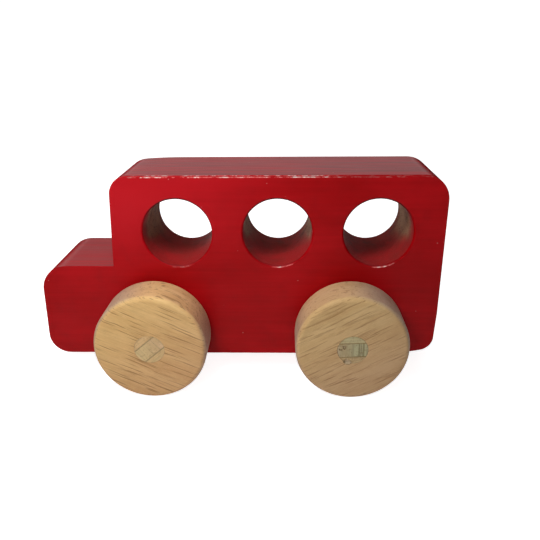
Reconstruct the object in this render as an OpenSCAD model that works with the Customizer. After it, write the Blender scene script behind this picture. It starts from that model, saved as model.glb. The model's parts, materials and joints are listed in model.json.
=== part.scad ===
// Push-along toy bus: a painted wooden block with round windows, rolling on two
// dowel axles. Each axle turns in the block. Its wheels are glued to it and locked
// by a wedge driven into each slotted end.
//
// Millimetres. +X runs from nose to tail, +Y to the right-hand side, +Z up.
// The origin is on the ground, midway along and across the bus.

/* [Body] */
// Length of the block, nose to tail
body_length = 174.5; // [145:0.5:210]
// Thickness of the block, side to side
body_width = 38; // [28:0.5:56]
// Height of the cabin above the underside
cabin_height = 82.5; // [66:0.5:110]
// Length of the bonnet in front of the windscreen
bonnet_length = 33.1; // [24:0.1:46]
// Height of the bonnet above the underside
bonnet_height = 42.8; // [32:0.2:56]
// How far the nose leans back from its foot to its top
nose_lean = 1.5; // [0:0.1:4]
// How far the windscreen leans back from its foot to its top
windscreen_lean = 1.9; // [0:0.1:6]
// Corner radius at the front end of the roof
roof_front_r = 8.5; // [4:0.5:16]
// Corner radius at the rear end of the roof
roof_rear_r = 11; // [4:0.5:16]
// Corner radius at the front of the bonnet
bonnet_corner_r = 11.5; // [4:0.5:16]
// Corner radius at the front end of the underside
sill_front_r = 9; // [4:0.5:14]
// Corner radius at the rear end of the underside
sill_rear_r = 6.5; // [4:0.5:8]
// How far the underside rises towards the foot of the tail
tail_rise = 2.8; // [0.4:0.1:4]
// Length of that rise, measured forward from the tail
tail_rise_length = 17; // [14:0.5:22]
// How far the foot of the tail leans in
tail_lean = 0.8; // [0.2:0.1:1.6]
// Height above the underside below which the tail leans in
tail_lean_height = 20; // [16:0.5:30]
// Size of the sanded bevel on every edge of the block
edge_bevel = 0.8; // [0.3:0.1:2]

/* [Windows] */
// Diameter of a window, drilled right through
window_d = 30; // [18:0.5:34]
// Distance from one window centre to the next
window_pitch = 42.4; // [38:0.2:60]
// Distance from the roof down to the window centres
window_drop = 24.8; // [22:0.1:28]
// Least wood left between a window and either end of the cabin
window_end_wood = 8; // [4:0.5:12]

/* [Wheels] */
// Diameter of a wheel
wheel_d = 48; // [36:0.5:56]
// Thickness of a wheel
wheel_t = 18.8; // [10:0.2:26]
// Radius sanded on the rims of a wheel
wheel_edge_r = 2.2; // [0.8:0.1:4]
// Gap between a wheel and the side of the block
wheel_gap = 0.6; // [0.3:0.1:1.5]
// Distance from the nose to the front axle
front_axle_setback = 50.3; // [42:0.1:60]
// Distance from the tail to the rear axle
rear_axle_setback = 38.8; // [30:0.1:48]
// Height of the axles above the underside
axle_height = 12.8; // [10:0.1:18]

/* [Axles] */
// Diameter of the dowel used for an axle
axle_d = 12.7; // [8:0.1:16]
// Radial running clearance of an axle in the block
axle_clearance = 0.1; // [0.05:0.01:0.4]
// Radial glue line between an axle and its wheels
glue_line = 0.05; // [0.02:0.01:0.1]

/* [Wedges] */
// Thickness of a wedge at its outer end
wedge_t = 6.4; // [5:0.1:7.5]
// Thickness of a wedge at its tip
wedge_tip_t = 4.6; // [2:0.1:5]
// How far a wedge is driven in
wedge_depth = 15; // [8:0.5:24]
// Empty slot left beyond the tip of a wedge
slot_spare = 0.6; // [0.2:0.1:2]
// Turn of the front axle's wedges from upright
front_wedge_turn = -50; // [-90:1:90]
// Turn of the rear axle's wedges from upright
rear_wedge_turn = -87; // [-90:1:90]

/* [Hidden] */
$fn = 96;
// How far a cutting shape runs past the surface it cuts
cut_overrun = 1;
// How far shapes that meet at a corner run past each other, so that they cross cleanly
corner_lap = 0.01;

// Places along the bus
nose_x = -body_length / 2;
tail_x = body_length / 2;
windscreen_x = nose_x + bonnet_length;
windscreen_top_x = windscreen_x + windscreen_lean;
front_axle_x = nose_x + front_axle_setback;
rear_axle_x = tail_x - rear_axle_setback;

// Heights above the ground
axle_z = wheel_d / 2;
underside_z = axle_z - axle_height;
bonnet_z = underside_z + bonnet_height;
roof_z = underside_z + cabin_height;
window_z = roof_z - window_drop;

// Places across the bus
side_y = body_width / 2;
wheel_back_y = side_y + wheel_gap;
wheel_face_y = wheel_back_y + wheel_t;

axle_r = axle_d / 2;
window_r = window_d / 2;

// The nose's rounded foot is the foremost place of the block, so the corner that is
// rounded lies a little further forward
nose_tilt = atan(nose_lean / bonnet_height);
nose_foot_x = nose_x - sill_front_r * (tan(nose_tilt) + 1 / cos(nose_tilt) - 1);
nose_top_x = nose_foot_x + nose_lean;

// The cabin's middle and length are taken at the height of the windows
window_height_share = (window_z - bonnet_z) / (roof_z - bonnet_z);
cabin_front_x = windscreen_x + windscreen_lean * window_height_share;
cabin_middle_x = (cabin_front_x + tail_x) / 2;

// The side view's corners, anticlockwise from the nose's foot: where two straight edges
// would meet, and the radius that rounds them. The inner corner behind the bonnet stays sharp,
// and so do the slight bends where the underside and the tail leave the straight.
corners = [
    [nose_foot_x, underside_z, sill_front_r],
    [tail_x - tail_rise_length, underside_z, 0],
    [tail_x - tail_lean, underside_z + tail_rise, sill_rear_r],
    [tail_x, underside_z + tail_lean_height, 0],
    [tail_x, roof_z, roof_rear_r],
    [windscreen_top_x, roof_z, roof_front_r],
    [windscreen_x, bonnet_z, 0],
    [nose_top_x, bonnet_z, bonnet_corner_r]
];
corner_numbers = [0 : len(corners) - 1];

function next(i) = (i + 1) % len(corners);
function previous(i) = (i + len(corners) - 1) % len(corners);
function corner_point(i) = [corners[i][0], corners[i][1]];
function corner_r(i) = corners[i][2];
function is_round(i) = corner_r(i) > 0;

// The straight edge from a corner to the next one
function edge_run(i) = corner_point(next(i)) - corner_point(i);
function edge_angle(i) = atan2(edge_run(i).y, edge_run(i).x);

// How far the side view turns at a corner
function corner_turn(i) = (edge_angle(i) - edge_angle(previous(i)) + 360) % 360;

// Distance from a corner to where its rounding starts
function rounding_reach(i) = corner_r(i) * tan(corner_turn(i) / 2);

// The places where a corner's rounding starts and ends
function edge_direction(i) = edge_run(i) / norm(edge_run(i));
function rounding_start(i) = corner_point(i) - edge_direction(previous(i)) * rounding_reach(i);
function rounding_end(i) = corner_point(i) + edge_direction(i) * rounding_reach(i);

// Angle at which a corner's arc starts
function arc_start(i) = edge_angle(previous(i)) - 90;

// Centre of a corner's arc, one radius in from both of its edges
function arc_centre(i) = rounding_start(i) - corner_r(i) * [cos(arc_start(i)), sin(arc_start(i))];

// As many windows as the cabin has room for, in a row about its middle
window_row = tail_x - cabin_front_x - 2 * window_end_wood - window_d;
window_count = 1 + floor(window_row / window_pitch);

function window_x(i) = cabin_middle_x + (i - (window_count - 1) / 2) * window_pitch;

// Turns a side view, drawn in XY and extruded across the bus, upright
module stand_up() {
    rotate([90, 0, 0]) children();
}

// Repeats a shape, mirrored, on the other side of the bus
module both_sides() {
    children();
    mirror([0, 0, 1]) children();
}

// The side view: straight edges with each round corner cut off, and a disc in its place
module side_view() {
    polygon([
        for (i = corner_numbers)
            each is_round(i) ? [rounding_start(i), rounding_end(i)] : [corner_point(i)]
    ]);
    for (i = corner_numbers) if (is_round(i))
        translate(arc_centre(i)) circle(corner_r(i) + corner_lap);
}

// Cuts the bevel along the straight edge that leaves a corner. At a round corner it runs on,
// clear of the rounding, and at a sharp one just far enough to cross the next cut.
module edge_bevel_cut(i) {
    run_on = is_round(i) ? cut_overrun : corner_lap;
    run_out = is_round(next(i)) ? cut_overrun : corner_lap;
    start = rounding_end(i) - edge_direction(i) * run_on;
    run = norm(rounding_start(next(i)) - rounding_end(i)) + run_on + run_out;
    reach = edge_bevel + cut_overrun;
    translate([start.x, start.y, side_y]) rotate(edge_angle(i))
        rotate([90, 0, 90]) linear_extrude(run)
            polygon([[reach, cut_overrun], [-cut_overrun, cut_overrun], [-cut_overrun, -reach]]);
}

// Cuts the bevel round a corner of the side view
module corner_bevel_cut(i) {
    r = corner_r(i) + corner_lap;
    reach = edge_bevel + cut_overrun;
    translate([arc_centre(i).x, arc_centre(i).y, side_y]) rotate(arc_start(i))
        rotate_extrude(angle = corner_turn(i))
            polygon([[r - reach, cut_overrun], [r + cut_overrun, -reach], [r + cut_overrun, cut_overrun]]);
}

// Drills one window through the block and bevels its rims
module window_cut(i) {
    translate([window_x(i), window_z, 0]) {
        cylinder(h = body_width + 2 * cut_overrun, r = window_r, center = true);
        both_sides() translate([0, 0, side_y - edge_bevel])
            cylinder(h = edge_bevel + cut_overrun, r1 = window_r, r2 = window_r + edge_bevel + cut_overrun);
    }
}

// Drills the running bore of one axle through the block
module axle_bore_cut(x) {
    translate([x, axle_z, 0])
        cylinder(h = body_width + 2 * cut_overrun, r = axle_r + axle_clearance, center = true);
}

module body() {
    color("#b3161e") stand_up() difference() {
        linear_extrude(body_width, center = true) side_view();
        both_sides() {
            for (i = corner_numbers) edge_bevel_cut(i);
            for (i = corner_numbers) if (is_round(i)) corner_bevel_cut(i);
        }
        for (i = [0 : window_count - 1]) window_cut(i);
        for (x = [front_axle_x, rear_axle_x]) axle_bore_cut(x);
    }
}

// Draws a shape round an axle's line, with +Z towards the left-hand wheel
module on_axle(x, turn = 0) {
    translate([x, 0, axle_z]) stand_up() rotate(turn) children();
}

// Turns a shape made for the left-hand end of an axle to the end that is asked for
module at_end(end) {
    rotate([end == "right" ? 180 : 0, 0, 0]) children();
}

// The slot in the left-hand end of an axle: a tapered slab that runs out past the end
module wedge_slot() {
    half_taper = (wedge_t - wedge_tip_t) / 2 / wedge_depth;
    slot_depth = wedge_depth + slot_spare;
    outer = wedge_t / 2 + half_taper * cut_overrun;
    inner = wedge_t / 2 - half_taper * slot_depth;
    outer_z = wheel_face_y + cut_overrun;
    inner_z = wheel_face_y - slot_depth;
    rotate([90, 0, 0]) linear_extrude(axle_d + 2 * cut_overrun, center = true)
        polygon([[-outer, outer_z], [-inner, inner_z], [inner, inner_z], [outer, outer_z]]);
}

// One axle: a dowel with its ends flush with the wheels and slotted for the wedges
module axle(x, turn) {
    color("#b9a57a") on_axle(x, turn) difference() {
        cylinder(h = 2 * wheel_face_y, r = axle_r, center = true);
        both_sides() wedge_slot();
    }
}

// Half of a wheel's section, with both rims rounded
module wheel_section() {
    wheel_r = wheel_d / 2;
    bore_r = axle_r + glue_line;
    translate([bore_r, 0]) square([wheel_r - wheel_edge_r - bore_r, wheel_t]);
    translate([bore_r, wheel_edge_r]) square([wheel_r - bore_r, wheel_t - 2 * wheel_edge_r]);
    for (z = [wheel_edge_r, wheel_t - wheel_edge_r])
        translate([wheel_r - wheel_edge_r, z]) circle(wheel_edge_r);
}

module wheel(x, end) {
    color("#caa573") on_axle(x) at_end(end)
        translate([0, 0, wheel_back_y]) rotate_extrude() wheel_section();
}

// One wedge: it fills the outer part of its slot, flush with the dowel's end and side
module wedge(x, turn, end) {
    color("#c2b083") on_axle(x, turn) at_end(end) intersection() {
        wedge_slot();
        translate([0, 0, wheel_face_y - wedge_depth]) cylinder(h = wedge_depth, r = axle_r);
    }
}

body();
axle(front_axle_x, front_wedge_turn);  // front_axle
axle(rear_axle_x, rear_wedge_turn);  // rear_axle
wheel(front_axle_x, "left");  // front_left_wheel
wheel(front_axle_x, "right");  // front_right_wheel
wheel(rear_axle_x, "left");  // rear_left_wheel
wheel(rear_axle_x, "right");  // rear_right_wheel
wedge(front_axle_x, front_wedge_turn, "left");  // front_left_wedge
wedge(front_axle_x, front_wedge_turn, "right");  // front_right_wedge
wedge(rear_axle_x, rear_wedge_turn, "left");  // rear_left_wedge
wedge(rear_axle_x, rear_wedge_turn, "right");  // rear_right_wedge
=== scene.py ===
"""The look of a wooden push-along toy bus: a red painted block on four bare wooden wheels."""

import json
import logging
import math
from collections.abc import Iterable
from dataclasses import dataclass
from enum import Enum

import bmesh
import bpy
from mathutils import Matrix, Vector, noise


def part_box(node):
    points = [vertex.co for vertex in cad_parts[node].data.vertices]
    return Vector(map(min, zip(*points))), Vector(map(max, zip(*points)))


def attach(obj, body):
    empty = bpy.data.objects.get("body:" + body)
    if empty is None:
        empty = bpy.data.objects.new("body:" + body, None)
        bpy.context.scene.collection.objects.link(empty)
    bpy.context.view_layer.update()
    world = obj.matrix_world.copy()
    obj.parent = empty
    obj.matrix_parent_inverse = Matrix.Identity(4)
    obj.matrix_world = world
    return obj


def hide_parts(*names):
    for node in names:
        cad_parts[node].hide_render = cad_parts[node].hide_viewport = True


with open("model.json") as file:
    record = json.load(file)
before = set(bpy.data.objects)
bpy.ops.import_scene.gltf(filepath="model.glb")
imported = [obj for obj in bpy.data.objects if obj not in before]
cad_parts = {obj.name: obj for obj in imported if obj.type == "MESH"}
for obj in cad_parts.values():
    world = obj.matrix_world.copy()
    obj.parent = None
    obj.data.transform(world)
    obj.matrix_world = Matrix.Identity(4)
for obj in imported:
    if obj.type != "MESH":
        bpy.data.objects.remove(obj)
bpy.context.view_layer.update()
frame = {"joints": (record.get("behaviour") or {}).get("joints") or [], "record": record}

LOG = logging.getLogger("toy_bus")
MM = 0.001
PER_MM = 1 / MM

Colour = tuple[float, float, float]
Triple = tuple[float, float, float]
Span = tuple[float, float]
Socket = bpy.types.NodeSocket


class Side(Enum):
    """The two sides of the bus, with the sign of their Y."""

    LEFT = -1
    RIGHT = 1


class Station(Enum):
    """The two axle positions along the bus."""

    FRONT = "front"
    REAR = "rear"


class Carve(Enum):
    """What a cutter does to a solid."""

    CUT_AWAY = "DIFFERENCE"
    KEEP_INSIDE = "INTERSECT"


@dataclass(frozen=True)
class Mottle:
    """A soft noise: its feature size along X, Y and Z in millimetres, and its finer octaves."""

    size: Triple
    detail: float = 2.0
    rough: float = 0.5


class NodeSheet:
    """Adds nodes to one shader tree and wires them."""

    def __init__(self, tree: bpy.types.NodeTree) -> None:
        """Keeps the tree that the nodes go into."""
        self.tree = tree

    def add(self, kind: str, **settings: object) -> bpy.types.Node:
        """Adds a node and sets its attributes.

        Args:
            kind: Blender's name for the node's type.
            settings: Attributes of the node and their values.

        Returns:
            The new node.
        """
        node = self.tree.nodes.new(kind)
        for name, value in settings.items():
            setattr(node, name, value)
        return node

    def feed(self, target: Socket, value: object) -> None:
        """Links a socket into target, or sets target to a plain value.

        Args:
            target: The input socket.
            value: Another node's output socket, or a number, vector or colour.
        """
        if isinstance(value, bpy.types.NodeSocket):
            self.tree.links.new(value, target)
        elif target.type == "RGBA" and len(value) == 3:
            target.default_value = (*value, 1.0)
        else:
            target.default_value = value

    def fill(self, node: bpy.types.Node, **values: object) -> None:
        """Feeds several inputs of a node by their names, with an underscore for each space.

        Args:
            node: The node.
            values: Sockets or plain values.
        """
        for name, value in values.items():
            self.feed(node.inputs[name.replace("_", " ")], value)

    def millimetres(self) -> Socket:
        """Gives the piece's own coordinates in millimetres."""
        place = self.add("ShaderNodeTexCoord").outputs["Object"]
        return self.mapped(place, scale=(PER_MM, PER_MM, PER_MM))

    def facing(self) -> Socket:
        """Gives the direction that the surface faces, in the piece's own coordinates."""
        return self.add("ShaderNodeTexCoord").outputs["Normal"]

    def mapped(
        self,
        vector: Socket,
        scale: Triple = (1, 1, 1),
        turn: Triple = (0, 0, 0),
        shift: Triple = (0, 0, 0),
    ) -> Socket:
        """Scales, then turns, then shifts a vector.

        Args:
            vector: The vector to map.
            scale: Factors along X, Y and Z.
            turn: Turns about X, Y and Z in radians.
            shift: What is added at the end.

        Returns:
            The mapped vector.
        """
        node = self.add("ShaderNodeMapping")
        self.fill(node, Vector=vector, Scale=scale, Rotation=turn, Location=shift)
        return node.outputs["Vector"]

    def noise(self, vector: Socket, mottle: Mottle) -> Socket:
        """Makes a soft noise.

        Args:
            vector: Coordinates in millimetres.
            mottle: How the noise looks.

        Returns:
            The noise, about 0 to 1.
        """
        node = self.add("ShaderNodeTexNoise")
        fine = self.mapped(vector, scale=tuple(1 / s for s in mottle.size))
        self.fill(node, Vector=fine, Scale=1.0, Detail=mottle.detail, Roughness=mottle.rough)
        return node.outputs["Fac"]

    def cells(self, vector: Socket, size: Triple) -> Socket:
        """Makes scattered cell centres and gives the distance to the nearest.

        Args:
            vector: Coordinates in millimetres.
            size: Cell size along X, Y and Z in millimetres.

        Returns:
            The distance, in cells.
        """
        node = self.add("ShaderNodeTexVoronoi")
        self.fill(node, Vector=self.mapped(vector, scale=tuple(1 / s for s in size)), Scale=1.0)
        return node.outputs["Distance"]

    def math(self, operation: str, *values: object) -> Socket:
        """Joins values by an arithmetic operation.

        Args:
            operation: Blender's name for the operation.
            values: Sockets or numbers, as many as the operation takes.

        Returns:
            The result.
        """
        node = self.add("ShaderNodeMath", operation=operation)
        for target, value in zip(node.inputs, values):
            self.feed(target, value)
        return node.outputs[0]

    def product(self, first: object, *others: object) -> Socket:
        """Multiplies values by each other.

        Args:
            first: A socket or a number.
            others: More of them.

        Returns:
            The product.
        """
        for other in others:
            first = self.math("MULTIPLY", first, other)
        return first

    def plus(self, rest: object, value: object, share: object) -> Socket:
        """Adds a share of a value to the rest."""
        return self.math("MULTIPLY_ADD", value, share, rest)

    def size_of(self, value: object) -> Socket:
        """Gives a value without its sign."""
        return self.math("ABSOLUTE", value)

    def step(
        self, value: Socket, start: float, end: float, low: float = 0.0, high: float = 1.0
    ) -> Socket:
        """Eases from low to high while value goes from start to end.

        Args:
            value: The driving value.
            start: Where the rise starts.
            end: Where it ends, which may lie below start.
            low: Result at start.
            high: Result at end.

        Returns:
            The eased value.
        """
        node = self.add("ShaderNodeMapRange", interpolation_type="SMOOTHSTEP")
        self.fill(node, Value=value, From_Min=start, From_Max=end, To_Min=low, To_Max=high)
        return node.outputs["Result"]

    def mix(self, amount: object, first: object, second: object, blend: str = "MIX") -> Socket:
        """Mixes two colours.

        Args:
            amount: Share of the second colour.
            first: A socket or a colour.
            second: A socket or a colour.
            blend: Blender's name for the way they mix.

        Returns:
            The mixed colour.
        """
        node = self.add("ShaderNodeMix", data_type="RGBA", blend_type=blend)
        colours = [s for s in node.inputs if s.type == "RGBA"]
        self.feed(node.inputs["Factor"], amount)
        self.feed(colours[0], first)
        self.feed(colours[1], second)
        return next(s for s in node.outputs if s.type == "RGBA")

    def parts(self, vector: Socket) -> tuple[Socket, Socket, Socket]:
        """Splits a vector into its X, Y and Z.

        Args:
            vector: The vector.

        Returns:
            Its three values.
        """
        node = self.add("ShaderNodeSeparateXYZ")
        self.feed(node.inputs[0], vector)
        return node.outputs[0], node.outputs[1], node.outputs[2]

    def vector(self, x: object, y: object, z: object) -> Socket:
        """Joins three values into a vector.

        Args:
            x: A socket or a number.
            y: The same for Y.
            z: The same for Z.

        Returns:
            The vector.
        """
        node = self.add("ShaderNodeCombineXYZ")
        self.fill(node, X=x, Y=y, Z=z)
        return node.outputs[0]

    def bump(self, height: Socket, depth: float) -> Socket:
        """Turns a height of 0 to 1 into a normal.

        Args:
            height: The height over the surface.
            depth: What a height of 1 stands for, in metres.

        Returns:
            The normal.
        """
        node = self.add("ShaderNodeBump")
        self.fill(node, Strength=1.0, Distance=depth, Height=height)
        return node.outputs["Normal"]

    def effect(self, group: bpy.types.NodeTree, vector: Socket) -> dict[str, Socket]:
        """Places a shared effect.

        Args:
            group: The effect's node group, which takes a vector.
            vector: Coordinates in millimetres.

        Returns:
            The effect's outputs by name.
        """
        node = self.add("ShaderNodeGroup", node_tree=group)
        self.feed(node.inputs["Vector"], vector)
        return {s.name: s for s in node.outputs}


class Effect:
    """A shader effect that several finishes share: a node group from a vector to named values."""

    name: str = "effect"
    results: tuple[str, ...] = ()

    def values(self, sheet: NodeSheet, vector: Socket) -> tuple[Socket, ...]:
        """Draws the effect and gives its values in the order of results."""
        raise NotImplementedError

    def group(self) -> bpy.types.NodeTree:
        """Gives the effect's node group, which is built the first time it is asked for.

        Returns:
            The node group.
        """
        made = bpy.data.node_groups.get(self.name)
        if made is not None:
            return made
        tree = bpy.data.node_groups.new(self.name, "ShaderNodeTree")
        tree.interface.new_socket("Vector", in_out="INPUT", socket_type="NodeSocketVector")
        for result in self.results:
            tree.interface.new_socket(result, in_out="OUTPUT", socket_type="NodeSocketFloat")
        sheet = NodeSheet(tree)
        vector = sheet.add("NodeGroupInput").outputs["Vector"]
        end = sheet.add("NodeGroupOutput")
        for result, value in zip(self.results, self.values(sheet, vector)):
            sheet.feed(end.inputs[result], value)
        return tree


class WoodFigure(Effect):
    """Open-pored hardwood: X runs along the grain, in millimetres."""

    name: str = "wood_figure"
    results: tuple[str, ...] = ("Pores", "Fibres", "Bands", "Rings", "Flecks")

    sway: Mottle = Mottle((30.0, 9.0, 9.0), 1.0)
    sway_reach: float = 1.6
    clusters: Mottle = Mottle((26.0, 2.2, 2.2), 1.0)
    cluster_rise: Span = (0.40, 0.62)
    cluster_range: Span = (0.15, 1.0)
    lines: Mottle = Mottle((26.0, 1.7, 0.70), 3.0, 0.55)
    line_rise: Span = (0.57, 0.68)
    line_share: float = 0.85
    pore_cell: Triple = (26.0, 1.0, 0.80)
    pore_rim: Span = (0.34, 0.16)
    fine_pore_cell: Triple = (9.0, 0.5, 0.45)
    fine_pore_rim: Span = (0.30, 0.14)
    fine_pore_share: float = 0.40
    streaks: Mottle = Mottle((11.0, 0.5, 0.42), 3.0, 0.6)
    specks: Mottle = Mottle((1.3, 0.50, 0.50), 2.0, 0.6)
    speck_share: float = 0.5
    fleck_rise: Span = (0.58, 0.74)
    bands: Mottle = Mottle((130.0, 3.4, 5.0), 2.0, 0.45)
    rings: Mottle = Mottle((300.0, 0.62, 16.0), 1.0, 0.4)

    def values(self, sheet: NodeSheet, vector: Socket) -> tuple[Socket, ...]:
        """Draws pores as long dashes, fibres as fine streaks and growth bands as broad ones.

        Args:
            sheet: The sheet to draw on.
            vector: Coordinates in millimetres, with X along the grain.

        Returns:
            Pores, fibres, bands, rings and flecks.
        """
        x, y, z = sheet.parts(vector)
        drift = sheet.product(sheet.noise(vector, self.sway), self.sway_reach)
        swayed = sheet.vector(x, sheet.math("ADD", y, drift), sheet.math("ADD", z, drift))
        clusters = sheet.noise(swayed, self.clusters)
        crowded = sheet.step(clusters, *self.cluster_rise, *self.cluster_range)
        lines = sheet.step(sheet.noise(swayed, self.lines), *self.line_rise)
        long_pores = sheet.step(sheet.cells(swayed, self.pore_cell), *self.pore_rim)
        short_pores = sheet.step(sheet.cells(swayed, self.fine_pore_cell), *self.fine_pore_rim)
        faint = sheet.product(short_pores, self.fine_pore_share)
        dashes = sheet.product(sheet.math("MAXIMUM", long_pores, faint), crowded)
        pores = sheet.math("MAXIMUM", dashes, sheet.product(lines, self.line_share))
        specks = sheet.noise(swayed, self.specks)
        centred = sheet.plus(-self.speck_share / 2, specks, self.speck_share)
        fibres = sheet.math("ADD", sheet.noise(swayed, self.streaks), centred)
        bands = sheet.noise(swayed, self.bands)
        rings = sheet.noise(swayed, self.rings)
        return pores, fibres, bands, rings, sheet.step(specks, *self.fleck_rise)


class PaintFilm(Effect):
    """Brushed paint on a sawn block: the grain that lifts through it, brush strokes and nibs."""

    name: str = "paint_film"
    results: tuple[str, ...] = ("Grain", "Strokes", "Nibs", "Patches")

    grain: Mottle = Mottle((18.0, 0.42, 0.42), 3.0, 0.62)
    strokes: Mottle = Mottle((60.0, 1.9, 1.9))
    nib_cell: Triple = (9.0, 9.0, 9.0)
    nib_edge: Mottle = Mottle((0.5, 0.5, 0.5), 2.0, 0.6)
    nib_spread: float = 0.05
    nib_rim: Span = (0.07, 0.03)
    patches: Mottle = Mottle((34.0, 26.0, 20.0))

    def values(self, sheet: NodeSheet, vector: Socket) -> tuple[Socket, ...]:
        """Draws the streaks along X and scatters the nibs.

        Args:
            sheet: The sheet to draw on.
            vector: Coordinates in millimetres.

        Returns:
            Grain, strokes, nibs and patches.
        """
        away = sheet.cells(vector, self.nib_cell)
        away = sheet.plus(away, sheet.noise(vector, self.nib_edge), self.nib_spread)
        nibs = sheet.step(away, *self.nib_rim)
        grain, strokes, patches = (
            sheet.noise(vector, mottle) for mottle in (self.grain, self.strokes, self.patches)
        )
        return grain, strokes, nibs, patches


class Grime(Effect):
    """Dirt that handling leaves in soft patches."""

    name: str = "handling_grime"
    results: tuple[str, ...] = ("Grime",)

    patches: Mottle = Mottle((9.0, 9.0, 9.0), 4.0, 0.62)
    rise: Span = (0.42, 0.78)

    def values(self, sheet: NodeSheet, vector: Socket) -> tuple[Socket, ...]:
        """Draws the soft patches."""
        return (sheet.step(sheet.noise(vector, self.patches), *self.rise),)


def new_material(name: str) -> tuple[bpy.types.Material, NodeSheet, bpy.types.Node]:
    """Makes a material with one Principled shader.

    Args:
        name: The material's name.

    Returns:
        The material, a sheet on its tree, and the shader node.
    """
    material = bpy.data.materials.new(name)
    material.use_nodes = True
    sheet = NodeSheet(material.node_tree)
    shader = material.node_tree.nodes["Principled BSDF"]
    return material, sheet, shader


@dataclass(frozen=True)
class RedPaint:
    """Satin red paint, brushed on and dusty on top, with painted glints along the edges, a painted pool
    of light on the cabin's front upper half and painted shade on the windows' upper rims, in millimetres.
    """

    half_width: float
    roof: float

    # Tone of the brushed film
    deep: Colour = (0.315, 0.0012, 0.0025)
    bright: Colour = (0.425, 0.0034, 0.0065)
    dirty: Colour = (0.16, 0.004, 0.005)
    grain_tone: float = 0.30
    stroke_tone: float = 0.60
    patch_tone: float = 1.20
    tone_rise: Span = (0.75, 1.35)
    dirt_share: float = 0.22
    nib_share: float = 0.18

    # Painted light: a brighter, patchy red that stands in for a pool of light towards the front end of
    # the cabin's upper half
    painted_light_red: Colour = (0.475, 0.0080, 0.014)
    light_pool_along: Span = (45.0, -60.0)
    light_pool_up: Span = (50.0, 82.0)
    light_pool_even: float = 0.55
    light_pool_patchy: float = 0.8

    # Dust on the faces that look up, and painted shade on the faces that look down high on the block,
    # such as the windows' upper rims
    top_red: Colour = (0.305, 0.006, 0.010)
    top_dusty: Colour = (0.160, 0.025, 0.027)
    under: Colour = (0.075, 0.012, 0.012)
    dust_grain: float = 0.6
    dust_streaks: Span = (0.55, 1.0)
    dust_tilt: Span = (0.45, 0.80)
    dust_heights: Span = (60.0, 85.0)
    bonnet_dust: float = 0.65
    under_shade_tilt: Span = (-0.05, -0.50)
    under_shade_share: float = 0.85

    # Painted glints along the edges, as pink and white dashes
    glint_pink: Colour = (0.72, 0.13, 0.13)
    pale_glint_and_nibs: Colour = (0.96, 0.84, 0.80)
    glint_along: Span = (46.0, 34.5)
    glint_range: Span = (0.15, 0.9)
    low_glint: float = 0.16
    sill_along: Span = (-9.0, 22.5)
    sill_glint: float = 0.85
    rim_start: Span = (0.02, 0.08)
    rim_end: Span = (0.62, 0.45)
    rim_aside: float = 0.17
    rim_level: Span = (0.36, 0.20)
    band: float = 1.15
    band_foot: Span = (1.0, 0.85)
    band_head: Span = (0.5, 0.65)
    band_inset: Span = (0.25, 0.1)
    dashes: Mottle = Mottle((2.6, 1.4, 1.4), 3.0, 0.65)
    dash_pink: Span = (0.34, 0.48)
    dash_white: Span = (0.48, 0.66)

    # Gloss and relief
    ior: float = 1.18
    roughness: float = 0.36
    end_roughness: float = 0.85
    grain_roughness: float = 0.30
    side_sheen: float = 0.5
    top_sheen: float = 0.17
    end_sheen: float = 0.05
    low_sheen: float = 1.4
    top_tilt: Span = (0.1, 0.6)
    end_tilt: Span = (0.1, 0.5)
    grain_relief: float = 0.55
    stroke_relief: float = 0.45
    nib_relief: float = 1.4
    film_depth: float = 0.06 * MM

    def colour(self, sheet: NodeSheet, film: dict[str, Socket], grime: Socket) -> Socket:
        """Gives the paint's colour with its streaks and patches.

        Args:
            sheet: The sheet to draw on.
            film: The paint film's values.
            grime: The grime's mask.

        Returns:
            The colour.
        """
        tone = sheet.product(film["Grain"], self.grain_tone)
        tone = sheet.plus(tone, film["Strokes"], self.stroke_tone)
        tone = sheet.plus(tone, film["Patches"], self.patch_tone)
        red = sheet.mix(sheet.step(tone, *self.tone_rise), self.deep, self.bright)
        return sheet.mix(sheet.product(grime, self.dirt_share), red, self.dirty)

    def painted_light_pool(self, sheet: NodeSheet, place: Socket, film: dict[str, Socket], red: Socket) -> Socket:
        """Paints a pool of light, a brighter patchy red, towards the front end of the cabin's upper half.

        Args:
            sheet: The sheet to draw on.
            place: Coordinates in millimetres.
            film: The paint film's values.
            red: The paint's colour.

        Returns:
            The colour.
        """
        x, _, z = sheet.parts(place)
        front = sheet.step(x, *self.light_pool_along)
        high = sheet.step(z, *self.light_pool_up)
        patchy = sheet.plus(self.light_pool_even, film["Patches"], self.light_pool_patchy)
        return sheet.mix(sheet.product(front, high, patchy), red, self.painted_light_red)

    def dusted_and_shaded_under(
        self, sheet: NodeSheet, height: Socket, film: dict[str, Socket], red: Socket, up: Socket
    ) -> Socket:
        """Dulls the faces that look up with dust, most of all the roof, and darkens the faces that look
        down high on the block, such as the windows' upper rims, with painted shade.

        Args:
            sheet: The sheet to draw on.
            height: The spot's Z in millimetres.
            film: The paint film's values.
            red: The paint's colour.
            up: How far the surface looks up, 1 for straight up.

        Returns:
            The colour.
        """
        streaks = sheet.plus(film["Strokes"], film["Grain"], self.dust_grain)
        dust = sheet.mix(sheet.step(streaks, *self.dust_streaks), self.top_red, self.top_dusty)
        thick = sheet.step(height, *self.dust_heights, self.bonnet_dust, 1.0)
        red = sheet.mix(sheet.product(sheet.step(up, *self.dust_tilt), thick), red, dust)
        # Painted shade: the faces that look down, high on the block, turn dark red.
        under = sheet.step(up, *self.under_shade_tilt, 0.0, self.under_shade_share)
        above = sheet.step(height, *self.dust_heights)
        return sheet.mix(sheet.product(under, above), red, self.under)

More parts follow.
